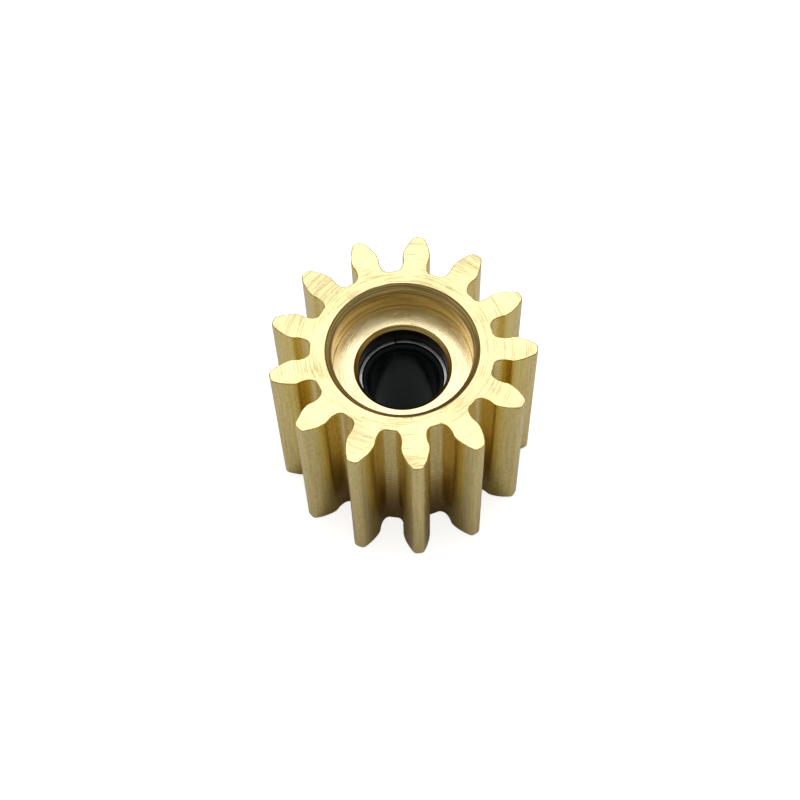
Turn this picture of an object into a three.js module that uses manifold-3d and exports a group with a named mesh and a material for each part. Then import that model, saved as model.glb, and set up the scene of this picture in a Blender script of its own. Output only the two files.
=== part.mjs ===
// Idler spur gear: a 13-tooth brass gear of module 1 that turns on a plain bearing.
// A thin steel shell is pressed into the gear's bore, and the pair runs on a black polymer sleeve
// that stays clamped on the machine's pin. Millimetres, +Z up along the axis of rotation,
// origin on the axis at the lower end of the sleeve. One tooth points along -Y.

import * as THREE from 'three';
import { mergeVertices } from 'three/addons/utils/BufferGeometryUtils.js';
import Module from 'manifold-3d';

const wasm = await Module();
wasm.setup();

// ---- Driving dimensions ----

const MODULE = 1;
const TEETH = 13;
const PRESSURE_ANGLE = THREE.MathUtils.degToRad(20);
const ADDENDUM = 1 * MODULE;
const DEDENDUM = 1.35 * MODULE;
const HOB_EDGE_RADIUS = 0.1 * MODULE; // rounding of the hob's tooth corners, which cut the root fillets
const FLANK_THINNING = 0.04; // taken off each flank so that a meshing pair has backlash
const TIP_CORNER_RADIUS = 0.14; // rounding between a flank and the tip land
const FRONT_TOOTH_ANGLE = -Math.PI / 2;

const FACE_WIDTH = 11.3;
const SLEEVE_STANDS_PROUD = 0.1; // the sleeve's lower end stands below the gear, so only it rubs

const COUNTERBORE_RADIUS = 3.95;
const COUNTERBORE_DEPTH = 2;
const COUNTERBORE_CHAMFER = 0.36;
const BORE_RADIUS = 2.55;
const BORE_UPPER_CHAMFER = 0.22;
const BORE_LOWER_CHAMFER = 0.3;

const PRESS_GAP = 0.02; // left between the pressed shell and the bore
const SHELL_WALL = 0.19;
const SHELL_BELOW_LEDGE = 1.26; // from the counterbore's floor down to the shell's upper end
const SHELL_ABOVE_LOWER_FACE = 0.4;
const SEAM_WIDTH = 0.08; // butt seam where the rolled shell's two edges meet
const SEAM_ANGLE = THREE.MathUtils.degToRad(94);

const RUNNING_CLEARANCE = 0.04; // radial, between the turning shell and the fixed sleeve
const SLEEVE_BORE_RADIUS = 2;
const SLEEVE_BELOW_SHELL = 0.14; // from the shell's upper end down to the sleeve's
const SLEEVE_EDGE_RADIUS = 0.12;

// ---- How finely curves are cut into flats ----

const BORE_SEGMENTS = 64;
const FLANK_STEPS = 14;
const TIP_CORNER_STEPS = 3;
const TIP_STEPS = 2;
const ROOT_STEPS = 3;
const SLEEVE_EDGE_STEPS = 3;
const FLANK_CROWDING = 1.7; // above 1, the flank's steps crowd towards the root fillet
const BISECTIONS = 50;
const WELD_DISTANCE = 1e-5; // vertices closer than this are one vertex

// ---- Sizes that follow ----

const PITCH_RADIUS = (MODULE * TEETH) / 2;
const BASE_RADIUS = PITCH_RADIUS * Math.cos(PRESSURE_ANGLE);
const TIP_RADIUS = PITCH_RADIUS + ADDENDUM;
const ROOT_RADIUS = PITCH_RADIUS - DEDENDUM;
const TOOTH_PITCH = (2 * Math.PI) / TEETH;

// Centre of the hob's rounded tooth corner: below the hob's pitch line, and from its tooth's middle.
const HOB_CORNER_DEPTH = DEDENDUM - HOB_EDGE_RADIUS;
const HOB_CORNER_ACROSS = (Math.PI * MODULE) / 4 + FLANK_THINNING
  - HOB_CORNER_DEPTH * Math.tan(PRESSURE_ANGLE) - HOB_EDGE_RADIUS / Math.cos(PRESSURE_ANGLE);

const LOWER_FACE = SLEEVE_STANDS_PROUD;
const UPPER_FACE = LOWER_FACE + FACE_WIDTH;
const LEDGE = UPPER_FACE - COUNTERBORE_DEPTH;

const SHELL_OUTER_RADIUS = BORE_RADIUS - PRESS_GAP;
const SHELL_INNER_RADIUS = SHELL_OUTER_RADIUS - SHELL_WALL;
const SHELL_TOP = LEDGE - SHELL_BELOW_LEDGE;
const SHELL_BOTTOM = LOWER_FACE + SHELL_ABOVE_LOWER_FACE;

const SLEEVE_OUTER_RADIUS = SHELL_INNER_RADIUS - RUNNING_CLEARANCE;
const SLEEVE_TOP = SHELL_TOP - SLEEVE_BELOW_SHELL;

// ---- Tooth form ----

const involute = (angle) => Math.tan(angle) - angle;

// Half of the angle that a tooth takes up at a radius on its involute flank.
function flankHalfAngle(radius) {
  const thickness = (Math.PI * MODULE) / 2 - 2 * FLANK_THINNING;
  const atPitchCircle = thickness / (2 * PITCH_RADIUS);
  return atPitchCircle + involute(PRESSURE_ANGLE) - involute(Math.acos(BASE_RADIUS / radius));
}

// Point of the root fillet that the hob's rounded corner cuts when the hob has rolled `roll`
// millimetres past the middle of the tooth space. It undercuts the flank near the base circle.
function filletPoint(roll) {
  const across = HOB_CORNER_ACROSS - roll;
  const reach = HOB_EDGE_RADIUS / Math.hypot(across, HOB_CORNER_DEPTH);
  const x = across * (1 + reach);
  const y = PITCH_RADIUS - HOB_CORNER_DEPTH * (1 + reach);
  const fromSpaceMiddle = Math.atan2(x, y) + roll / PITCH_RADIUS;
  return { radius: Math.hypot(x, y), halfAngle: TOOTH_PITCH / 2 - fromSpaceMiddle };
}

// Half of the angle that a tooth takes up at a radius on its root fillet, by bisecting the roll.
function filletHalfAngle(radius) {
  let atRoot = HOB_CORNER_ACROSS;
  let beyond = atRoot - PITCH_RADIUS;
  for (let step = 0; step < BISECTIONS; step += 1) {
    const middle = (atRoot + beyond) / 2;
    if (filletPoint(middle).radius < radius) {
      atRoot = middle;
    } else {
      beyond = middle;
    }
  }
  return filletPoint(atRoot).halfAngle;
}

function toothHalfAngle(radius) {
  const fillet = filletHalfAngle(radius);
  return radius > BASE_RADIUS ? Math.min(fillet, flankHalfAngle(radius)) : fillet;
}

const polar = (radius, angle) =>
  new THREE.Vector2(radius * Math.cos(angle), radius * Math.sin(angle));

// Points strictly between two angles on a circle.
function arcBetween(radius, from, to, steps) {
  const points = [];
  for (let i = 1; i < steps; i += 1) {
    points.push(polar(radius, from + ((to - from) * i) / steps));
  }
  return points;
}

// One flank from root to tip, as radius and half angle, with its steps closest in the fillet,
// then the quarter-round corner at the tip.
function flank() {
  const stations = [];
  const cornerStart = TIP_RADIUS - TIP_CORNER_RADIUS;
  for (let i = 0; i <= FLANK_STEPS; i += 1) {
    const radius = ROOT_RADIUS + (cornerStart - ROOT_RADIUS) * (i / FLANK_STEPS) ** FLANK_CROWDING;
    stations.push({ radius, halfAngle: toothHalfAngle(radius) });
  }
  for (let i = 1; i <= TIP_CORNER_STEPS; i += 1) {
    const turn = ((Math.PI / 2) * i) / TIP_CORNER_STEPS;
    const radius = cornerStart + TIP_CORNER_RADIUS * Math.sin(turn);
    const inset = TIP_CORNER_RADIUS * (1 - Math.cos(turn));
    stations.push({ radius, halfAngle: toothHalfAngle(radius) - inset / radius });
  }
  return stations;
}

// The gear's outline, counter-clockwise: rising flank, tip land, falling flank and root land.
function gearOutline() {
  const rising = flank();
  const tipHalfAngle = rising[rising.length - 1].halfAngle;
  const rootHalfAngle = rising[0].halfAngle;
  const outline = [];
  for (let tooth = 0; tooth < TEETH; tooth += 1) {
    const middle = FRONT_TOOTH_ANGLE + tooth * TOOTH_PITCH;
    const nextRoot = middle + TOOTH_PITCH - rootHalfAngle;
    outline.push(...rising.map((s) => polar(s.radius, middle - s.halfAngle)));
    outline.push(...arcBetween(TIP_RADIUS, middle - tipHalfAngle, middle + tipHalfAngle, TIP_STEPS));
    outline.push(...rising.toReversed().map((s) => polar(s.radius, middle + s.halfAngle)));
    outline.push(...arcBetween(ROOT_RADIUS, middle + rootHalfAngle, nextRoot, ROOT_STEPS));
  }
  return outline;
}

// ---- Solids ----

function toManifold(geometry) {
  const bare = geometry.clone();
  bare.deleteAttribute('normal');
  bare.deleteAttribute('uv');
  const merged = mergeVertices(bare, WELD_DISTANCE);
  return new wasm.Manifold(new wasm.Mesh({
    numProp: 3,
    vertProperties: new Float32Array(merged.attributes.position.array),
    triVerts: new Uint32Array(merged.index.array),
  }));
}

function toGeometry(manifold) {
  const mesh = manifold.getMesh();
  const geometry = new THREE.BufferGeometry();
  geometry.setAttribute('position', new THREE.BufferAttribute(mesh.vertProperties, 3));
  geometry.setIndex(new THREE.BufferAttribute(mesh.triVerts, 1));
  geometry.computeVertexNormals();
  return geometry;
}

// Turns a profile of [radius, height] pairs round the Z axis.
function turned(profile) {
  const points = profile.map(([radius, height]) => new THREE.Vector2(radius, height));
  return new THREE.LatheGeometry(points, BORE_SEGMENTS).rotateX(Math.PI / 2);
}

// Quarter-round corner of a profile, about a centre, between two angles in degrees.
function roundedCorner(centreRadius, centreHeight, from, to) {
  const corner = [];
  for (let i = 0; i <= SLEEVE_EDGE_STEPS; i += 1) {
    const angle = THREE.MathUtils.degToRad(from + ((to - from) * i) / SLEEVE_EDGE_STEPS);
    corner.push([
      centreRadius + SLEEVE_EDGE_RADIUS * Math.cos(angle),
      centreHeight + SLEEVE_EDGE_RADIUS * Math.sin(angle),
    ]);
  }
  return corner;
}

// Everything that is turned out of the middle of the blank: bore, counterbore and chamfers.
function boreCutter() {
  const past = 1; // how far the cutter runs out past both faces
  const mouth = COUNTERBORE_RADIUS + COUNTERBORE_CHAMFER;
  return turned([
    [0, LOWER_FACE - past],
    [BORE_RADIUS + BORE_LOWER_CHAMFER, LOWER_FACE - past],
    [BORE_RADIUS + BORE_LOWER_CHAMFER, LOWER_FACE],
    [BORE_RADIUS, LOWER_FACE + BORE_LOWER_CHAMFER],
    [BORE_RADIUS, LEDGE - BORE_UPPER_CHAMFER],
    [BORE_RADIUS + BORE_UPPER_CHAMFER, LEDGE],
    [COUNTERBORE_RADIUS, LEDGE],
    [COUNTERBORE_RADIUS, UPPER_FACE - COUNTERBORE_CHAMFER],
    [mouth, UPPER_FACE],
    [mouth, UPPER_FACE + past],
    [0, UPPER_FACE + past],
  ]);
}

function gearBody() {
  const blank = new THREE.ExtrudeGeometry(new THREE.Shape(gearOutline()), {
    depth: FACE_WIDTH,
    bevelEnabled: false,
  }).translate(0, 0, LOWER_FACE);
  return toGeometry(toManifold(blank).subtract(toManifold(boreCutter())));
}

function bearingShell() {
  const ring = turned([
    [SHELL_INNER_RADIUS, SHELL_BOTTOM],
    [SHELL_OUTER_RADIUS, SHELL_BOTTOM],
    [SHELL_OUTER_RADIUS, SHELL_TOP],
    [SHELL_INNER_RADIUS, SHELL_TOP],
    [SHELL_INNER_RADIUS, SHELL_BOTTOM],
  ]);
  const middleRadius = SHELL_INNER_RADIUS + SHELL_WALL / 2;
  const seam = new THREE.BoxGeometry(SHELL_WALL * 3, SEAM_WIDTH, FACE_WIDTH * 2)
    .translate(middleRadius, 0, 0)
    .rotateZ(SEAM_ANGLE);
  return toGeometry(toManifold(ring).subtract(toManifold(seam)));
}

function innerSleeve() {
  const inner = SLEEVE_BORE_RADIUS + SLEEVE_EDGE_RADIUS;
  const outer = SLEEVE_OUTER_RADIUS;
  const lower = SLEEVE_EDGE_RADIUS;
  const upper = SLEEVE_TOP - SLEEVE_EDGE_RADIUS;
  return turned([
    [inner, 0],
    [outer, 0],
    [outer, SLEEVE_TOP],
    ...roundedCorner(inner, upper, 90, 180),
    ...roundedCorner(inner, lower, 180, 270).slice(0, -1),
    [inner, 0],
  ]);
}

// ---- Assembly ----

const brass = new THREE.MeshStandardMaterial({ color: 0xd8c183, roughness: 0.32, metalness: 1 });
const steel = new THREE.MeshStandardMaterial({ color: 0xa9aaa8, roughness: 0.35, metalness: 1 });
const blackPolymer = new THREE.MeshStandardMaterial({ color: 0x0b0c0d, roughness: 0.18, metalness: 0 });

function piece(name, geometry, material) {
  const mesh = new THREE.Mesh(geometry, material);
  mesh.name = name;
  return mesh;
}

const turningParts = new THREE.Group();
turningParts.add(piece('gear_body', gearBody(), brass));
turningParts.add(piece('bearing_shell', bearingShell(), steel));

const idlerGear = new THREE.Group();
idlerGear.add(turningParts);
idlerGear.add(piece('inner_sleeve', innerSleeve(), blackPolymer));

export default idlerGear;
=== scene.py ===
"""The looks of a brass idler spur gear, its pressed-in steel shell and its black inner sleeve.

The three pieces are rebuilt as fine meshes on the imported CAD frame, with the same sizes and places:
broken edges, a grooved counterbore chamfer, and normals worked out from the shapes themselves.
"""

import math

import bpy
from mathutils import Matrix, Vector, noise


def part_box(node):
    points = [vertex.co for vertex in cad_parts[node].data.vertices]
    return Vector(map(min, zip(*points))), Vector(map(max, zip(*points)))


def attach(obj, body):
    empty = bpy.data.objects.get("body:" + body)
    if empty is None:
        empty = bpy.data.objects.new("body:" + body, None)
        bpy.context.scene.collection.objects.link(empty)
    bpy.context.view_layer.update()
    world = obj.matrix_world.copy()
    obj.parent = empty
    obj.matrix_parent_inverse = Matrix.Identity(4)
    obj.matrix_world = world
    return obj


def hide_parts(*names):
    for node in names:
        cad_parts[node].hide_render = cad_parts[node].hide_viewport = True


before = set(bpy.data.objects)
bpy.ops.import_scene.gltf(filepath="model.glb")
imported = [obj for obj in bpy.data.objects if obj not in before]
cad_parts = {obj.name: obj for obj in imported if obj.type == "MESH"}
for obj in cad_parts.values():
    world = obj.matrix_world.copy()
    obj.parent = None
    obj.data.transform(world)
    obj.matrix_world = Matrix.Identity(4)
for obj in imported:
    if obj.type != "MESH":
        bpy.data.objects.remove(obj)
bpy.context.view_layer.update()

MM = 0.001

# ---- Sizes read from the frame, in metres ----

gear_low, gear_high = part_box("gear_body")
shell_low, shell_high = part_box("bearing_shell")
sleeve_low, sleeve_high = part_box("inner_sleeve")

TEETH = 13
TIP_RADIUS = -gear_low.y  # the front tooth points along -Y
MODULE = TIP_RADIUS / (TEETH / 2 + 1)
LOWER_FACE = gear_low.z
UPPER_FACE = gear_high.z

# ---- Sizes that the CAD source drives ----

PRESSURE_ANGLE = math.radians(20)
DEDENDUM = 1.35 * MODULE
HOB_EDGE_RADIUS = 0.1 * MODULE
FLANK_THINNING = 0.04 * MM
TIP_CORNER_RADIUS = 0.14 * MM
FRONT_TOOTH_ANGLE = -math.pi / 2

COUNTERBORE_RADIUS = 3.95 * MM
COUNTERBORE_CHAMFER = 0.36 * MM
LEDGE = UPPER_FACE - 2 * MM
BORE_RADIUS = 2.55 * MM
BORE_UPPER_CHAMFER = 0.22 * MM
BORE_LOWER_CHAMFER = 0.3 * MM

SHELL_WALL = 0.19 * MM
SEAM_WIDTH = 0.08 * MM
SEAM_ANGLE = math.radians(94)
SLEEVE_BORE_RADIUS = 2 * MM

# ---- Finish that only the looks have ----

EDGE_BREAK = 0.06 * MM  # deburred edge between a face and the teeth
EDGE_BREAK_SPREAD = 0.03 * MM  # how unevenly it was deburred
TURNED_EDGE = 0.03 * MM
LEDGE_CORNER = 0.02 * MM  # the boring tool's nose radius
SLEEVE_MOUTH = 0.24 * MM  # the sleeve's bore is rounded over nearly all of its wall
ROOT_BAND = 0.15 * MM  # of the fillets that looks like the root itself
FILLET_REACH = 0.4 * MM  # how far up from the root the fillets run
TIP_BAND = 0.5 * MM  # of the flanks below the tips without the painted bounce light
TIP_FADE = 0.25 * MM
BOUNCE_GOLD_SHARE = 0.55  # how much painted bounce light, a deeper gold, the flanks get in between
ROOT_SHADE_SHARE = 0.6  # how dark the painted shade in the roots is
ROOT_SHADE_REACH = 0.8 * MM  # how far up the flanks the painted shade runs
ROOT_SHADE_HEIGHT = 6.0 * MM  # and up to which height the roots get painted shade
ROOT_SHADE_FADE = 1.2 * MM
HEIGHT_WAVER = 1.6 * MM
FEED_MARK = 0.38 * MM  # the hob's step along the roots
FEED_MARK_DEPTH = 0.004 * MM
GROOVES = 5  # tool marks cut into the counterbore's chamfer
GROOVE_DEPTH = 0.009 * MM
GROOVE_DEEPEST_ANGLE = math.radians(20)  # and opposite, as the tool pushed off and sprang back

# ---- How finely the meshes are divided ----

FLANK_STEPS = 30
FLANK_CROWDING = 1.7  # how much closer together the steps are at the root
TIP_CORNER_STEPS = 6
ACROSS_STEPS = 10  # across a tooth, so along its tip land too
ROOT_STEPS = 5
ARC_STEPS = 4  # in each rounded corner of a profile
SIDE_ROWS = 12
STEPS_A_GROOVE = 8
RING_SEGMENTS = 160
BISECTIONS = 50

# ---- Worked out from the sizes above ----

PITCH_RADIUS = MODULE * TEETH / 2
BASE_RADIUS = PITCH_RADIUS * math.cos(PRESSURE_ANGLE)
ROOT_RADIUS = PITCH_RADIUS - DEDENDUM
TOOTH_PITCH = 2 * math.pi / TEETH
HOB_CORNER_DEPTH = DEDENDUM - HOB_EDGE_RADIUS
HOB_CORNER_ACROSS = (
    math.pi * MODULE / 4
    + FLANK_THINNING
    - HOB_CORNER_DEPTH * math.tan(PRESSURE_ANGLE)
    - HOB_EDGE_RADIUS / math.cos(PRESSURE_ANGLE)
)

UP = Vector((0, 0, 1))


# ---- Mesh building ----


class Skin:
    """A closed surface gathered from rows of vertices, each vertex with its own normal."""

    def __init__(self):
        self.points = []
        self.normals = []
        self.faces = []
        self.slots = []

    def row(self, places):
        """Adds (point, normal) pairs and returns their numbers."""
        first = len(self.points)
        for point, normal in places:
            self.points.append(point)
            self.normals.append(normal.normalized())
        return list(range(first, len(self.points)))

    def bridge(self, row, next_row, slot=0, closed=True):
        """Quads between two rows, facing out when they run round the axis and next_row is above."""
        count = len(row)
        for i in range(count if closed else count - 1):
            j = (i + 1) % count
            self.faces.append((row[i], row[j], next_row[j], next_row[i]))
            self.slots.append(slot)

    def cap(self, loop, slot=0):
        self.faces.append(tuple(loop))
        self.slots.append(slot)

    def build(self, name, materials):
        mesh = bpy.data.meshes.new(name)
        mesh.from_pydata(self.points, [], self.faces)
        for material in materials:
            mesh.materials.append(material)
        mesh.polygons.foreach_set("material_index", self.slots)
        mesh.polygons.foreach_set("use_smooth", [True] * len(self.faces))
        mesh.validate()
        mesh.normals_split_custom_set_from_vertices(self.normals)
        mesh.update()
        piece = bpy.data.objects.new(name, mesh)
        bpy.context.scene.collection.objects.link(piece)
        return piece


def polar(radius, angle, height=0.0):
    return Vector((radius * math.cos(angle), radius * math.sin(angle), height))


def rounded(corners, closed=False):
    """Turns (radius, height, rounding) corners into a profile of (place, normal) pairs.

    The air is on the right of the way along it, so a left turn is an outer corner.
    """
    places = [Vector((r, z)) for r, z, _ in corners]
    count = len(corners)
    profile = []
    for i, (place, (_, _, rounding)) in enumerate(zip(places, corners)):
        if not closed and i in (0, count - 1):
            along = (places[1] - places[0]) if i == 0 else (places[-1] - places[-2])
            profile.append((place, Vector((along.y, -along.x)).normalized()))
            continue
        way_in = (place - places[i - 1]).normalized()
        way_out = (places[(i + 1) % count] - place).normalized()
        turn = math.atan2(way_in.cross(way_out), way_in.dot(way_out))
        side = 1 if turn > 0 else -1
        tangent = rounding * math.tan(abs(turn) / 2)
        normal = Vector((way_in.y, -way_in.x))
        centre = place - way_in * tangent - normal * rounding * side
        for step in range(ARC_STEPS + 1):
            angle = turn * step / ARC_STEPS
            turned = Vector((
                normal.x * math.cos(angle) - normal.y * math.sin(angle),
                normal.x * math.sin(angle) + normal.y * math.cos(angle),
            ))
            profile.append((centre + turned * rounding * side, turned))
    return profile


def turned_row(place, normal, angles):
    """One profile point turned to every angle, as (point, normal) pairs."""
    return [(polar(place.x, a, place.y), polar(normal.x, a, normal.y)) for a in angles]


# ---- Tooth form ----


def involute(angle):
    return math.tan(angle) - angle


def flank_half_angle(radius):
    thickness = math.pi * MODULE / 2 - 2 * FLANK_THINNING
    at_pitch_circle = thickness / (2 * PITCH_RADIUS)
    rolled_off = involute(math.acos(BASE_RADIUS / radius))
    return at_pitch_circle + involute(PRESSURE_ANGLE) - rolled_off


def fillet_point(roll):
    """(radius, half angle of the tooth) where the hob's corner cuts after that much roll."""
    across = HOB_CORNER_ACROSS - roll
    reach = HOB_EDGE_RADIUS / math.hypot(across, HOB_CORNER_DEPTH)
    x = across * (1 + reach)
    y = PITCH_RADIUS - HOB_CORNER_DEPTH * (1 + reach)
    return math.hypot(x, y), TOOTH_PITCH / 2 - math.atan2(x, y) - roll / PITCH_RADIUS


def fillet_half_angle(radius):
    at_root = HOB_CORNER_ACROSS
    beyond = at_root - PITCH_RADIUS
    for _ in range(BISECTIONS):
        middle = (at_root + beyond) / 2
        if fillet_point(middle)[0] < radius:
            at_root = middle
        else:
            beyond = middle
    return fillet_point(at_root)[1]


def tooth_half_angle(radius):
    fillet = fillet_half_angle(radius)
    return min(fillet, flank_half_angle(radius)) if radius > BASE_RADIUS else fillet


def flank():
    """(radius, half angle) of a flank from its root to the end of its rounded tip corner."""
    corner_start = TIP_RADIUS - TIP_CORNER_RADIUS
    stations = []
    for i in range(FLANK_STEPS + 1):
        radius = ROOT_RADIUS + (corner_start - ROOT_RADIUS) * (i / FLANK_STEPS) ** FLANK_CROWDING
        stations.append((radius, tooth_half_angle(radius)))
    for i in range(1, TIP_CORNER_STEPS + 1):
        turn = math.pi / 2 * i / TIP_CORNER_STEPS
        radius = corner_start + TIP_CORNER_RADIUS * math.sin(turn)
        inset = TIP_CORNER_RADIUS * (1 - math.cos(turn))
        stations.append((radius, tooth_half_angle(radius) - inset / radius))
    return stations


def arc_between(radius, start, end, steps):
    return [polar(radius, start + (end - start) * i / steps) for i in range(1, steps)]


def gear_outline():
    """The outline's points, counter-clockwise, from the first root corner of the front tooth."""
    stations = flank()
    root_half = stations[0][1]
    tip_half = stations[-1][1]
    outline = []
    for tooth in range(TEETH):
        middle = FRONT_TOOTH_ANGLE + tooth * TOOTH_PITCH
        outline += [polar(r, middle - half) for r, half in stations]
        outline += arc_between(TIP_RADIUS, middle - tip_half, middle + tip_half, ACROSS_STEPS)
        outline += [polar(r, middle + half) for r, half in reversed(stations)]
        next_root = middle + TOOTH_PITCH - root_half
        outline += arc_between(ROOT_RADIUS, middle + root_half, next_root, ROOT_STEPS)
    return outline


def outward_normals(outline):
    """Normals in the plane, each square to the line between a point's two neighbours."""
    normals = []
    for i, _ in enumerate(outline):
        along = outline[(i + 1) % len(outline)] - outline[i - 1]
        normals.append(Vector((along.y, -along.x, 0)).normalized())
    return normals


# ---- Gear ----

HOBBED, FACED, TURNED, REAMED = range(4)  # the gear's material slots


def edge_break(point, seed):
    """How far an edge was broken at a point: uneven, as by a deburring brush."""
    place = Vector((point.x / MM, point.y / MM, seed))
    unevenness = noise.noise(place * 1.3) + 0.6 * noise.noise(place * 6)
    return EDGE_BREAK + EDGE_BREAK_SPREAD * max(-1, min(1, unevenness))


def side_rows(skin, outline, normals):
    """The toothed side from its lower edge to its upper edge; returns the rows at both ends."""
    breaks = {
        -1: [edge_break(p, 3.0) for p in outline],
        1: [edge_break(p, 8.0) for p in outline],
    }
    rows = []
    for end, face in ((-1, LOWER_FACE), (1, UPPER_FACE)):
        arc = []
        for step in range(ARC_STEPS + 1):
            angle = math.pi / 2 * step / ARC_STEPS
            lean = end * math.cos(angle)
            arc.append([
                (p - n * b * (1 - math.sin(angle)) + UP * (face - end * b * (1 - math.cos(angle))),
                 n * math.sin(angle) + UP * lean)
                for p, n, b in zip(outline, normals, breaks[end])
            ])
        rows += arc if end < 0 else arc[::-1]
        if end < 0:
            for step in range(1, SIDE_ROWS):
                height = LOWER_FACE + (UPPER_FACE - LOWER_FACE) * step / SIDE_ROWS
                rows.append([(p + UP * height, n) for p, n in zip(outline, normals)])
    numbers = [skin.row(places) for places in rows]
    for row, next_row in zip(numbers, numbers[1:]):
        skin.bridge(row, next_row, HOBBED)
    return numbers[0], numbers[-1]


def face_inside(skin, edge, end):
    """Fills one end face between its edge row and the web; returns the web's outer row."""
    stations = FLANK_STEPS + TIP_CORNER_STEPS + 1
    per_tooth = 2 * stations + ACROSS_STEPS - 1 + ROOT_STEPS - 1
    web = []
    for tooth in range(TEETH):
        start = tooth * per_tooth
        rising = edge[start:start + stations]
        tip = edge[start + stations:start + stations + ACROSS_STEPS - 1]
        falling = edge[start + stations + ACROSS_STEPS - 1:][:stations][::-1]
        land = edge[start + 2 * stations + ACROSS_STEPS - 1:start + per_tooth]
        rungs = []
        for left, right in zip(rising[:-1], falling[:-1]):
            a = skin.points[left]
            b = skin.points[right]
            inner = [a.lerp(b, i / ACROSS_STEPS) for i in range(1, ACROSS_STEPS)]
            rungs.append([left, *skin.row([(p, UP * end) for p in inner]), right])
        rungs.append([rising[-1], *tip, falling[-1]])
        for row, next_row in zip(rungs, rungs[1:]):
            if end > 0:
                skin.bridge(next_row, row, FACED, closed=False)
            else:
                skin.bridge(row, next_row, FACED, closed=False)
        web += [*rungs[0], *land]
    return web


def groove(along, angle):
    """(depth, slope) of the tool marks at a share of the way down the chamfer, at an angle."""
    strength = 0.6 + 0.4 * math.cos(2 * (angle - GROOVE_DEEPEST_ANGLE))
    phase = 2 * math.pi * GROOVES * along
    width = COUNTERBORE_CHAMFER * math.sqrt(2) / GROOVES
    depth = GROOVE_DEPTH * strength
    return depth * (math.cos(phase) - 1) / 2, -depth * math.pi / width * math.sin(phase)


def chamfer_rows(angles):
    """The grooved counterbore chamfer, from its upper end to its lower one."""
    rows = []
    steps = STEPS_A_GROOVE * GROOVES
    mouth = COUNTERBORE_RADIUS + COUNTERBORE_CHAMFER
    lip = UPPER_FACE - COUNTERBORE_CHAMFER
    top = Vector((mouth - TURNED_EDGE, UPPER_FACE - TURNED_EDGE))
    bottom = Vector((COUNTERBORE_RADIUS + TURNED_EDGE, lip + TURNED_EDGE))
    way = (bottom - top).normalized()
    normal = Vector((way.y, -way.x))
    for step in range(1, steps):
        place = top.lerp(bottom, step / steps)
        row = []
        for angle in angles:
            depth, slope = groove(step / steps, angle)
            here = place + normal * depth
            leaning = normal - way * slope
            row.append((polar(here.x, angle, here.y), polar(leaning.x, angle, leaning.y)))
        rows.append(row)
    return rows


def bore_rows(angles):
    """The rows that are turned out of the gear's middle, from the upper face to the lower."""
    mouth = COUNTERBORE_RADIUS + COUNTERBORE_CHAMFER
    web = (mouth + ROOT_RADIUS) / 2
    profile = rounded([
        (web, UPPER_FACE, 0),
        (mouth, UPPER_FACE, TURNED_EDGE),
        (COUNTERBORE_RADIUS, UPPER_FACE - COUNTERBORE_CHAMFER, TURNED_EDGE),
        (COUNTERBORE_RADIUS, LEDGE, LEDGE_CORNER),
        (BORE_RADIUS + BORE_UPPER_CHAMFER, LEDGE, TURNED_EDGE),
        (BORE_RADIUS, LEDGE - BORE_UPPER_CHAMFER, TURNED_EDGE),
        (BORE_RADIUS, LOWER_FACE + BORE_LOWER_CHAMFER, TURNED_EDGE),
        (BORE_RADIUS + BORE_LOWER_CHAMFER, LOWER_FACE, TURNED_EDGE),
        (web, LOWER_FACE, 0),
    ])
    rows = [turned_row(place, normal, angles) for place, normal in profile]
    after_mouth = 1 + ARC_STEPS + 1  # the first place, then the mouth's rounded corner
    return rows[:after_mouth] + chamfer_rows(angles) + rows[after_mouth:]


def slot_of_row(row, next_row):
    """The bore was reamed, level rings were faced, and everything else was turned."""
    if row[0][0].xy.length < BORE_RADIUS + TURNED_EDGE / 2:
        return REAMED
    level = abs(row[0][1].z) > 0.99 and abs(next_row[0][1].z) > 0.99
    return FACED if level else TURNED


def make_gear(materials):
    skin = Skin()
    outline = gear_outline()
    lower_edge, upper_edge = side_rows(skin, outline, outward_normals(outline))
    upper_web = face_inside(skin, upper_edge, 1)
    lower_web = face_inside(skin, lower_edge, -1)
    angles = [math.atan2(skin.points[i].y, skin.points[i].x) for i in upper_web]
    places = bore_rows(angles)
    numbers = [skin.row(row) for row in places]
    skin.bridge(upper_web, numbers[0], FACED)
    for i, (row, next_row) in enumerate(zip(numbers, numbers[1:])):
        skin.bridge(row, next_row, slot_of_row(places[i], places[i + 1]))
    skin.bridge(numbers[-1], lower_web, FACED)
    return skin.build("gear_brass", materials)


# ---- Bearing ----


def make_sleeve(material):
    outer = sleeve_high.x
    profile = rounded([
        (outer, sleeve_high.z, TURNED_EDGE),
        (SLEEVE_BORE_RADIUS, sleeve_high.z, SLEEVE_MOUTH),
        (SLEEVE_BORE_RADIUS, sleeve_low.z, SLEEVE_MOUTH),
        (outer, sleeve_low.z, TURNED_EDGE),
    ], closed=True)
    angles = [2 * math.pi * i / RING_SEGMENTS for i in range(RING_SEGMENTS)]
    skin = Skin()
    numbers = [skin.row(turned_row(place, normal, angles)) for place, normal in profile]
    for row, next_row in zip(numbers, numbers[1:] + numbers[:1]):
        skin.bridge(row, next_row)
    return skin.build("sleeve_polymer", [material])


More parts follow.
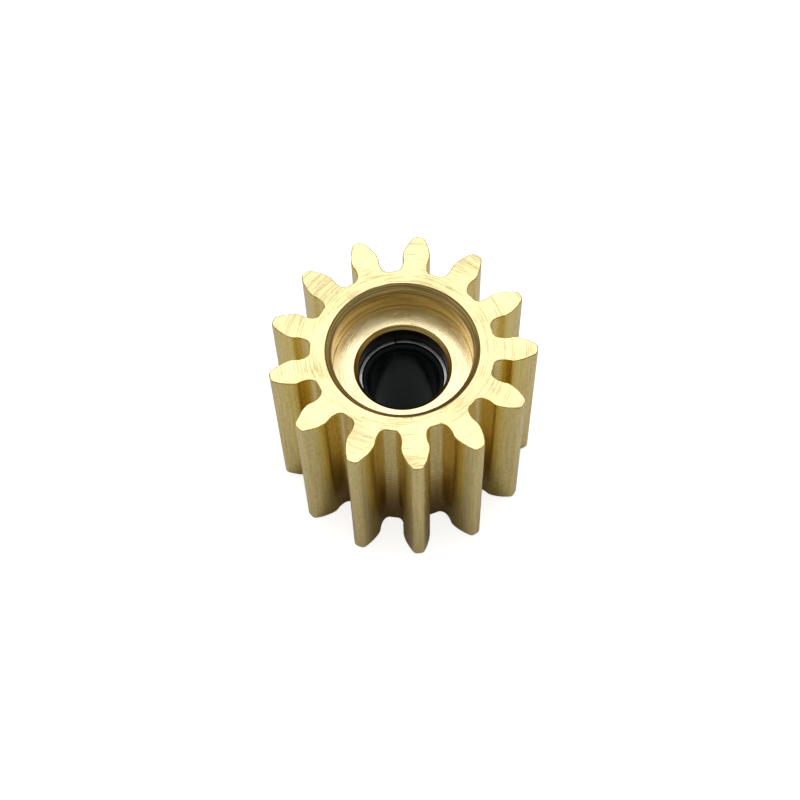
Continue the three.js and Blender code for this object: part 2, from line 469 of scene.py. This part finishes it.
def make_shell(material):
    """The rolled shell: a ring that stops on both sides of its butt seam."""
    outer = shell_high.x
    inner = outer - SHELL_WALL
    profile = rounded([
        (outer, shell_high.z, TURNED_EDGE),
        (inner, shell_high.z, TURNED_EDGE),
        (inner, shell_low.z, TURNED_EDGE),
        (outer, shell_low.z, TURNED_EDGE),
    ], closed=True)
    half_seam = SEAM_WIDTH / 2 / outer
    sweep = 2 * math.pi - 2 * half_seam
    start = SEAM_ANGLE + half_seam
    angles = [start + sweep * i / RING_SEGMENTS for i in range(RING_SEGMENTS + 1)]
    skin = Skin()
    numbers = [skin.row(turned_row(place, normal, angles)) for place, normal in profile]
    for row, next_row in zip(numbers, numbers[1:] + numbers[:1]):
        skin.bridge(row, next_row, closed=False)
    for end in (0, -1):
        across = polar(1, angles[end] + (math.pi / 2 if end else -math.pi / 2))
        loop = skin.row([(skin.points[row[end]].copy(), across) for row in numbers])
        skin.cap(loop if end == 0 else loop[::-1])
    return skin.build("shell_steel", [material])


# ---- Materials ----


class Nodes:
    """Short ways to add and join shader nodes in one material or world."""

    def __init__(self, owner, shader):
        owner.use_nodes = True
        self.owner = owner
        self.tree = owner.node_tree
        self.shader = self.tree.nodes[shader]

    def add(self, kind, **settings):
        node = self.tree.nodes.new(kind)
        for key, value in settings.items():
            setattr(node, key, value)
        return node

    def feed(self, socket, value):
        """Joins a socket to another one, or sets what it holds."""
        if isinstance(value, bpy.types.NodeSocket):
            self.tree.links.new(value, socket)
        else:
            socket.default_value = value

    def give(self, name, value):
        """Feeds one of the shader's own inputs."""
        self.feed(self.shader.inputs[name], value)

    def math(self, operation, a, b=0.0):
        node = self.add("ShaderNodeMath", operation=operation)
        self.feed(node.inputs[0], a)
        self.feed(node.inputs[1], b)
        return node.outputs[0]

    def plus(self, value, other, share, clamp=False):
        """A value and a share of another one."""
        node = self.add("ShaderNodeMath", operation="MULTIPLY_ADD", use_clamp=clamp)
        self.feed(node.inputs[0], other)
        self.feed(node.inputs[1], share)
        self.feed(node.inputs[2], value)
        return node.outputs[0]

    def vector(self, operation, a, b=None):
        node = self.add("ShaderNodeVectorMath", operation=operation)
        self.feed(node.inputs[0], a)
        if b is not None:
            self.feed(node.inputs[1], b)
        gives_number = operation in ("LENGTH", "DOT_PRODUCT")
        return node.outputs["Value" if gives_number else "Vector"]

    def noise(self, place, scale, detail=3.0, roughness=0.5):
        node = self.add("ShaderNodeTexNoise")
        self.feed(node.inputs["Vector"], place)
        node.inputs["Scale"].default_value = scale
        node.inputs["Detail"].default_value = detail
        node.inputs["Roughness"].default_value = roughness
        return node.outputs["Fac"]

    def spread(self, value, low, high, to_low, to_high):
        """Maps a range of a value onto another, smoothly and without running past it."""
        node = self.add("ShaderNodeMapRange", interpolation_type="SMOOTHSTEP")
        self.feed(node.inputs["Value"], value)
        node.inputs["From Min"].default_value = low
        node.inputs["From Max"].default_value = high
        node.inputs["To Min"].default_value = to_low
        node.inputs["To Max"].default_value = to_high
        return node.outputs["Result"]

    def mix(self, share, colour_a, colour_b):
        node = self.add("ShaderNodeMix", data_type="RGBA")
        self.feed(node.inputs[0], share)
        self.feed(node.inputs[6], colour_a)
        self.feed(node.inputs[7], colour_b)
        return node.outputs[2]

    def bump(self, height, distance, after=None):
        """A normal bumped by a height, on top of the bumps that came before."""
        node = self.add("ShaderNodeBump")
        self.feed(node.inputs["Height"], height)
        node.inputs["Distance"].default_value = distance
        node.inputs["Strength"].default_value = 1
        if after is not None:
            self.feed(node.inputs["Normal"], after)
        return node.outputs["Normal"]

    def place(self):
        return self.add("ShaderNodeTexCoord").outputs["Object"]

    def stretched(self, x, y, z):
        """The place, with each direction scaled."""
        return self.vector("MULTIPLY", self.place(), (x, y, z))

    def radius(self):
        """The distance from the axis."""
        return self.vector("LENGTH", self.stretched(1, 1, 0))

    def height(self):
        split = self.add("ShaderNodeSeparateXYZ")
        self.feed(split.inputs[0], self.place())
        return split.outputs["Z"]

    def rings(self, per_metre, turns, detail=3.0, roughness=0.5):
        """Noise that changes fast from ring to ring and slowly round the axis.

        Height counts for less than radius, so that the 45 degree chamfers have rings too.
        """
        along = self.plus(self.radius(), self.height(), 0.6)
        direction = self.add("ShaderNodeSeparateXYZ")
        self.feed(direction.inputs[0], self.vector("NORMALIZE", self.stretched(1, 1, 0)))
        ring = self.add("ShaderNodeCombineXYZ")
        self.feed(ring.inputs[0], self.math("MULTIPLY", along, per_metre))
        self.feed(ring.inputs[1], self.math("MULTIPLY", direction.outputs["X"], turns))
        self.feed(ring.inputs[2], self.math("MULTIPLY", direction.outputs["Y"], turns))
        return self.noise(ring.outputs[0], 1.0, detail, roughness)


def new_material(name):
    return Nodes(bpy.data.materials.new(name), "Principled BSDF")


PER_MM = 1 / MM  # noise scales and rings are so many to the millimetre

BRASS_BRIGHT = (0.91, 0.785, 0.41, 1)
# painted light: a paler copy of the faced brass for the ledge, for light its walls block
BRASS_LEDGE_PAINTED_LIGHT = (0.90, 0.79, 0.49, 1)
BRASS_MARK = (0.64, 0.53, 0.28, 1)
BRASS = (0.93, 0.75, 0.315, 1)
BRASS_DULL = (0.60, 0.44, 0.145, 1)
# painted bounce light: a deeper gold for the light that bounces between facing flanks
BOUNCE_GOLD = (0.96, 0.76, 0.19, 1)
BOUNCE_GOLD_DULL = (0.72, 0.53, 0.09, 1)
BRASS_TURNED = (0.92, 0.68, 0.25, 1)
BRASS_TURNED_DULL = (0.55, 0.35, 0.095, 1)
BRASS_SCORED = (0.40, 0.26, 0.08, 1)
# painted shade: the brown that darkens the tooth roots low down, near the table
BRASS_ROOT_SHADE = (0.5, 0.29, 0.075, 1)
# painted shade: the near black of the bore wall in its recess
BORE_PAINTED_SHADE = (0.012, 0.010, 0.008, 1)
BORE_PAINTED_SHADE_THIN = (0.06, 0.04, 0.018, 1)
PIT = (0.16, 0.11, 0.05, 1)
STEEL = (0.55, 0.55, 0.54, 1)
STEEL_DULL = (0.36, 0.36, 0.36, 1)
POLYMER = (0.005, 0.0075, 0.009, 1)
POLYMER_GRAIN = (0.009, 0.013, 0.016, 1)
POLYMER_SHEEN = (0.8, 0.95, 1, 1)


def pits(nodes, seed, share):
    """1 inside small scattered pits, 0 elsewhere."""
    shifted = nodes.vector("ADD", nodes.place(), (seed * MM, 0, 0))
    fine = nodes.noise(shifted, 6.5 * PER_MM, detail=1.0)
    patch = nodes.noise(shifted, 0.62 * PER_MM, detail=1.0)
    rim = 1.20 - share
    return nodes.spread(nodes.plus(fine, patch, 0.6), rim, rim + 0.05, 0.0, 1.0)


def near_faces(nodes, reach):
    """1 at the upper and lower edges of the teeth, 0 further than a reach from them."""
    middle = (UPPER_FACE + LOWER_FACE) / 2
    half = (UPPER_FACE - LOWER_FACE) / 2
    from_middle = nodes.math("ABSOLUTE", nodes.math("SUBTRACT", nodes.height(), middle))
    return nodes.spread(from_middle, half - reach, half, 0.0, 1.0)


def in_tooth_space(nodes, cloud):
    """(bounce gold, root shade, rippled) shares of a flank: painted bounce light on the flanks,
    painted shade in the low roots, and the hob's feed marks along the roots.
    """
    radius = nodes.radius()
    root = ROOT_RADIUS + ROOT_BAND
    tip = TIP_RADIUS - TIP_BAND
    above_root = nodes.spread(radius, root, ROOT_RADIUS + FILLET_REACH, 0.0, 1.0)
    below_tip = nodes.spread(radius, tip - TIP_FADE, tip, BOUNCE_GOLD_SHARE, 0.0)
    # painted bounce light: the flanks between root and tip are painted a deeper gold
    bounce_gold = nodes.math("MULTIPLY", above_root, below_tip)
    # painted shade: the roots are painted brown near the root circle and below a wavering height,
    # where shade falls between the teeth
    root_shade_by_depth = nodes.spread(radius, root, ROOT_RADIUS + ROOT_SHADE_REACH, ROOT_SHADE_SHARE, 0.0)
    wavering = nodes.plus(nodes.height(), cloud, HEIGHT_WAVER)
    low = nodes.spread(wavering, ROOT_SHADE_HEIGHT - ROOT_SHADE_FADE, ROOT_SHADE_HEIGHT + ROOT_SHADE_FADE, 1.0, 0.0)
    wave = nodes.math("SINE", nodes.math("MULTIPLY", wavering, 2 * math.pi / FEED_MARK))
    rippled = nodes.math("MULTIPLY", wave, nodes.math("SUBTRACT", 1.0, above_root))
    return bounce_gold, nodes.math("MULTIPLY", root_shade_by_depth, low), rippled


def brass_faced():
    """Level faces, with the fine rings of a facing tool and a few deeper ones; the ledge is painted a
    paler brass than the upper face, as painted light.
    """
    nodes = new_material("brass_faced")
    rings = nodes.rings(18 * PER_MM, 2.0, roughness=0.6)
    cuts = nodes.rings(17 * PER_MM, 2.5, detail=1.0)
    patch = nodes.noise(nodes.place(), 0.42 * PER_MM)
    cut = nodes.spread(nodes.plus(cuts, patch, 0.35), 0.79, 0.86, 0.0, 1.0)
    grain = nodes.noise(nodes.place(), 16 * PER_MM, detail=2.0)
    pit = pits(nodes, 1.0, 0.06)
    upper = nodes.spread(nodes.height(), LEDGE, UPPER_FACE, 0.0, 1.0)

    dull = nodes.spread(nodes.plus(rings, grain, 0.9), 0.93, 1.18, 0.0, 0.55)
    dull = nodes.plus(dull, cut, 0.4, clamp=True)
    # painted light: the ledge is painted a paler brass than the upper face
    faced_with_painted_ledge_light = nodes.mix(upper, BRASS_LEDGE_PAINTED_LIGHT, BRASS_BRIGHT)
    nodes.give("Base Color", nodes.mix(pit, nodes.mix(dull, faced_with_painted_ledge_light, BRASS_MARK), PIT))
    patchy = nodes.spread(patch, 0.3, 0.7, 0.0, 0.12)
    rough = nodes.math("ADD", patchy, nodes.spread(upper, 0.0, 1.0, 0.22, 0.28))
    nodes.give("Roughness", rough)
    smoother_ledge = nodes.spread(upper, 0.0, 1.0, 0.5, 1.0)
    height = nodes.math("MULTIPLY", nodes.plus(rings, cut, -0.8), smoother_ledge)
    normal = nodes.bump(height, 0.0065 * MM)
    nodes.give("Normal", nodes.bump(pit, -0.01 * MM, after=normal))
    nodes.give("Metallic", 1)
    return nodes.owner


def brass_turned():
    """Bored walls and chamfers, with tool marks round the axis, scored on the upper chamfer."""
    nodes = new_material("brass_turned")
    rings = nodes.rings(9 * PER_MM, 1.0, roughness=0.6)
    broad = nodes.rings(3 * PER_MM, 0.7, detail=2.0)
    scores = nodes.rings(16 * PER_MM, 1.2, detail=1.0)
    lip = UPPER_FACE - COUNTERBORE_CHAMFER
    chamfer = nodes.spread(nodes.height(), lip - 0.1 * MM, lip + 0.1 * MM, 0.0, 1.0)

    dull = nodes.spread(rings, 0.42, 0.60, 0.1, 1.0)
    bored = nodes.mix(dull, BRASS_TURNED, BRASS_TURNED_DULL)
    scored = nodes.spread(scores, 0.50, 0.58, 0.0, 0.65)
    chamfered = nodes.mix(scored, nodes.mix(dull, BRASS, BRASS_TURNED_DULL), BRASS_SCORED)
    nodes.give("Base Color", nodes.mix(chamfer, bored, chamfered))
    nodes.give("Roughness", nodes.plus(nodes.spread(broad, 0.3, 0.7, 0.16, 0.3), chamfer, 0.16))
    nodes.give("Normal", nodes.bump(rings, 0.009 * MM))
    nodes.give("Metallic", 1)
    return nodes.owner


def brass_reamed():
    """The bore, reamed smooth, with painted shade: near black, lighter in patches, for the shade in
    the recess above the shell.
    """
    nodes = new_material("brass_reamed")
    rings = nodes.rings(9 * PER_MM, 1.5)
    patch = nodes.noise(nodes.place(), 0.9 * PER_MM)
    # painted shade: the bore wall is painted near black, a little lighter in patches
    thinner_shade = nodes.spread(nodes.math("ADD", rings, patch), 1.0, 1.35, 0.0, 1.0)
    nodes.give("Base Color", nodes.mix(thinner_shade, BORE_PAINTED_SHADE, BORE_PAINTED_SHADE_THIN))
    nodes.give("Roughness", nodes.spread(rings, 0.3, 0.7, 0.35, 0.5))
    nodes.give("Normal", nodes.bump(rings, 0.003 * MM))
    nodes.give("Metallic", nodes.spread(thinner_shade, 0.0, 1.0, 0.05, 0.5))
    nodes.give("Specular IOR Level", 0.2)
    return nodes.owner


def brass_hobbed():
    """Tooth flanks, streaked along the teeth, grainy and darker where the faces meet them, with
    painted bounce light on the flanks and painted shade in the low roots.
    """
    nodes = new_material("brass_hobbed")
    streaks = nodes.noise(nodes.stretched(1, 1, 0.03), 9 * PER_MM, detail=4.0, roughness=0.65)
    mottle = nodes.noise(nodes.stretched(1, 1, 0.4), 8 * PER_MM, roughness=0.65)
    grain = nodes.noise(nodes.place(), 26 * PER_MM, detail=2.0)
    cloud = nodes.noise(nodes.stretched(1, 1, 0.3), 0.5 * PER_MM, detail=2.0)
    pit = pits(nodes, 4.0, 0.07)
    bounce_gold, root_shade, rippled = in_tooth_space(nodes, cloud)

    worn = nodes.plus(nodes.math("MULTIPLY", streaks, 0.38), mottle, 0.3)
    worn = nodes.plus(worn, grain, 0.32)
    uneven = nodes.spread(mottle, 0.4, 0.6, 0.2, 1.0)
    # darker near the upper and lower faces of the teeth, unevenly
    edge = nodes.math("MULTIPLY", near_faces(nodes, 0.16 * MM), uneven)
    dull = nodes.math("MAXIMUM", nodes.spread(worn, 0.40, 0.62, 0.0, 0.75), edge)
    plain = nodes.mix(dull, BRASS, BRASS_DULL)
    # painted bounce light: the flanks are mixed towards the deeper gold
    metal = nodes.mix(bounce_gold, plain, nodes.mix(dull, BOUNCE_GOLD, BOUNCE_GOLD_DULL))
    # painted shade: the low roots are mixed towards the brown
    nodes.give("Base Color", nodes.mix(pit, nodes.mix(root_shade, metal, BRASS_ROOT_SHADE), PIT))
    nodes.give("Roughness", nodes.plus(nodes.spread(cloud, 0.3, 0.7, 0.12, 0.2), worn, 0.16))
    normal = nodes.bump(worn, 0.018 * MM)
    normal = nodes.bump(rippled, FEED_MARK_DEPTH, after=normal)
    nodes.give("Normal", nodes.bump(pit, -0.014 * MM, after=normal))
    nodes.give("Metallic", 1)
    return nodes.owner


def steel_rolled():
    """Rolled steel strip, satin along the way it was rolled."""
    nodes = new_material("steel_rolled")
    rings = nodes.rings(20 * PER_MM, 2.0)
    cloud = nodes.noise(nodes.place(), 1.5 * PER_MM, detail=2.0)
    nodes.give("Base Color", nodes.mix(nodes.spread(cloud, 0.35, 0.7, 0.0, 1.0), STEEL, STEEL_DULL))
    nodes.give("Roughness", nodes.spread(rings, 0.3, 0.7, 0.26, 0.4))
    nodes.give("Normal", nodes.bump(rings, 0.002 * MM))
    nodes.give("Metallic", 1)
    return nodes.owner


def black_polymer():
    """Glossy moulded polymer, with faint rubbing marks, matter at the sleeve's upper mouth."""
    nodes = new_material("black_polymer")
    rub = nodes.rings(2.5 * PER_MM, 3.0)
    grain = nodes.noise(nodes.place(), 3 * PER_MM, detail=2.0)
    end = sleeve_high.z
    mouth = nodes.spread(nodes.height(), end - 0.5 * MM, end - 0.25 * MM, 0.0, 1.0)
    grainy = nodes.spread(grain, 0.4, 0.7, 0.0, 1.0)
    nodes.give("Base Color", nodes.mix(grainy, POLYMER, POLYMER_GRAIN))
    nodes.give("Roughness", nodes.plus(nodes.spread(rub, 0.3, 0.75, 0.08, 0.2), mouth, 0.3))
    nodes.give("Specular IOR Level", nodes.spread(mouth, 0.0, 1.0, 0.4, 0.12))
    nodes.give("Specular Tint", POLYMER_SHEEN)
    nodes.give("Normal", nodes.bump(rub, 0.002 * MM))
    return nodes.owner


# ---- Stage ----

CAMERA_AZIMUTH = math.radians(-4.7)  # the front tooth is a little to the right of the camera
CAMERA_ELEVATION = math.radians(61.4)
CAMERA_ROLL = math.radians(-1.95)
CAMERA_DISTANCE = 87.84 * MM  # from the middle of the upper face, along the view
CAMERA_ASIDE = -0.13 * MM
CAMERA_BELOW = -2.84 * MM
CAMERA_LENS = 71.5

BACKDROP_RADIUS = 0.8
BACKDROP_BEND = 0.3
BACKDROP_HEIGHT = 0.6
BACKDROP_STEPS = 12

SOFTBOX_LIGHT = 1.75
SOFTBOX_ELEVATION = math.radians(69)  # behind the gear, where the upper face mirrors it
SOFTBOX_EDGE = 0.82  # cosine of the angle where its glow starts
SOFTBOX_CORE = 0.97  # and where it's full
ROOM_LIGHT = 0.36
ROOM_LIGHT_IN_FRONT = 0.24
ROOM_LIGHT_BEHIND = 0.25
FRONT_SPAN = (-0.7, 0.1)  # cosines from straight behind the gear, where the front's dimness ends
BEHIND_SPAN = (0.6, 0.9)  # and where the dimness behind the gear starts and is full

SHEET_GREY = 0.8
SHEET_GLOW = 0.8
TABLE_GREY = 0.8
TABLE_GLOW = 0.085
TABLE_DROP = 0.02 * MM  # below the sheet
CONTACT_SHADOW_MIDDLE = 4.6 * MM  # painted contact shadow: the ring of the table painted dark where the gear's shadow falls
CONTACT_SHADOW_HALF_WIDTH = 2.0 * MM
CONTACT_SHADOW_FADE = 1.2 * MM
CONTACT_SHADOW_GREY = 0.5


def make_camera():
    """Looks down at the upper face, slightly off it and slightly rolled."""
    level = math.cos(CAMERA_ELEVATION)
    back = Vector((
        math.sin(CAMERA_AZIMUTH) * level,
        -math.cos(CAMERA_AZIMUTH) * level,
        math.sin(CAMERA_ELEVATION),
    ))
    right = Vector((math.cos(CAMERA_AZIMUTH), math.sin(CAMERA_AZIMUTH), 0))
    over = back.cross(right)
    rolled_right = right * math.cos(CAMERA_ROLL) + over * math.sin(CAMERA_ROLL)
    rolled_up = over * math.cos(CAMERA_ROLL) - right * math.sin(CAMERA_ROLL)
    offset = rolled_right * CAMERA_ASIDE + rolled_up * CAMERA_BELOW
    camera = bpy.data.objects.new("camera", bpy.data.cameras.new("camera"))
    bpy.context.scene.collection.objects.link(camera)
    camera.data.lens = CAMERA_LENS
    camera.data.sensor_width = 36
    camera.data.clip_start = 5 * MM
    camera.location = UP * UPPER_FACE + back * CAMERA_DISTANCE + offset
    camera.rotation_mode = "QUATERNION"
    axes = Matrix((rolled_right, rolled_up, back)).transposed()
    camera.rotation_quaternion = axes.to_quaternion()
    bpy.context.scene.camera = camera


def swept_up():
    """The outline of paper that curves up into a wall, as in a photographer's studio."""
    outline = [Vector((BACKDROP_RADIUS - BACKDROP_BEND, 0))]
    for step in range(1, BACKDROP_STEPS + 1):
        turn = math.pi / 2 * step / BACKDROP_STEPS
        out = BACKDROP_RADIUS + BACKDROP_BEND * (math.sin(turn) - 1)
        outline.append(Vector((out, BACKDROP_BEND * (1 - math.cos(turn)))))
    return outline + [Vector((BACKDROP_RADIUS, BACKDROP_HEIGHT))]


def make_sheet(name, height, outline, material):
    """A round sheet, flat up to the outline's first place and turned from the outline after it."""
    angles = [2 * math.pi * i / RING_SEGMENTS for i in range(RING_SEGMENTS)]
    skin = Skin()
    rows = []
    for place in outline:
        inward = Vector((-place.y, BACKDROP_HEIGHT))  # straight up at first, then ever more inward
        rows.append(skin.row(turned_row(place, inward, angles)))
    skin.cap(rows[0])
    for row, next_row in zip(rows, rows[1:]):
        skin.bridge(next_row, row)
    sheet = skin.build(name, [material])
    sheet.location.z = height
    return sheet


def paper(name):
    """Matt paper that glows white by its own emission strength."""
    nodes = new_material(name)
    nodes.give("Roughness", 0.9)
    nodes.give("Specular IOR Level", 0)
    nodes.give("Emission Color", (1, 1, 1, 1))
    return nodes


def make_floors():
    """White paper that only the camera sees, over grey paper that the metal reflects, with a painted
    contact shadow: a ring round the gear painted darker and without glow.
    """
    white = paper("white_paper")
    white.give("Base Color", (SHEET_GREY, SHEET_GREY, SHEET_GREY, 1))
    white.give("Emission Strength", SHEET_GLOW)
    sheet = make_sheet("white_sheet", 0.0, swept_up(), white.owner)
    sheet.visible_diffuse = False
    sheet.visible_glossy = False
    sheet.visible_transmission = False
    sheet.visible_shadow = False

    grey = paper("grey_paper")
    radius = grey.vector("LENGTH", grey.place())
    # painted shadow: the table's grey darkens and its glow drops out in a ring round the gear, where
    # the gear's contact shadow falls
    from_painted_shadow = grey.math("ABSOLUTE", grey.math("SUBTRACT", radius, CONTACT_SHADOW_MIDDLE))
    clear = CONTACT_SHADOW_HALF_WIDTH + CONTACT_SHADOW_FADE
    table_grey_with_painted_shadow = grey.spread(from_painted_shadow, CONTACT_SHADOW_HALF_WIDTH, clear, CONTACT_SHADOW_GREY, TABLE_GREY)
    grey.give("Base Color", table_grey_with_painted_shadow)
    glow_off_in_painted_shadow = grey.spread(from_painted_shadow, CONTACT_SHADOW_HALF_WIDTH, clear, 0.0, TABLE_GLOW)
    grey.give("Emission Strength", glow_off_in_painted_shadow)
    table = make_sheet("grey_table", -TABLE_DROP, swept_up()[:1], grey.owner)
    table.visible_camera = False


def make_studio():
    """A big soft light behind the gear, in a room that is dimmer in front and low behind."""
    world = bpy.data.worlds.new("studio")
    bpy.context.scene.world = world
    nodes = Nodes(world, "Background")
    nodes.give("Color", (1, 1, 1, 1))
    direction = nodes.add("ShaderNodeTexCoord").outputs["Generated"]
    away = Vector((-math.sin(CAMERA_AZIMUTH), math.cos(CAMERA_AZIMUTH), 0))
    to_softbox = away * math.cos(SOFTBOX_ELEVATION) + UP * math.sin(SOFTBOX_ELEVATION)
    towards = nodes.vector("DOT_PRODUCT", direction, to_softbox)
    softbox = nodes.spread(towards, SOFTBOX_EDGE, SOFTBOX_CORE, 0.0, 1.0)
    ahead = nodes.vector("DOT_PRODUCT", direction, away)
    room = nodes.spread(ahead, *FRONT_SPAN, ROOM_LIGHT_IN_FRONT, ROOM_LIGHT)
    behind = nodes.spread(ahead, *BEHIND_SPAN, ROOM_LIGHT, ROOM_LIGHT_BEHIND)
    room = nodes.math("MINIMUM", room, behind)
    nodes.give("Strength", nodes.plus(room, softbox, SOFTBOX_LIGHT - ROOM_LIGHT))


# ---- Assembly ----

gear = make_gear([brass_hobbed(), brass_faced(), brass_turned(), brass_reamed()])
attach(gear, "gear")
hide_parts("gear_body")

shell = make_shell(steel_rolled())
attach(shell, "gear")
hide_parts("bearing_shell")

sleeve = make_sleeve(black_polymer())
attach(sleeve, "sleeve")
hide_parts("inner_sleeve")

make_camera()
make_floors()
make_studio()
bpy.context.scene.view_settings.view_transform = "Standard"
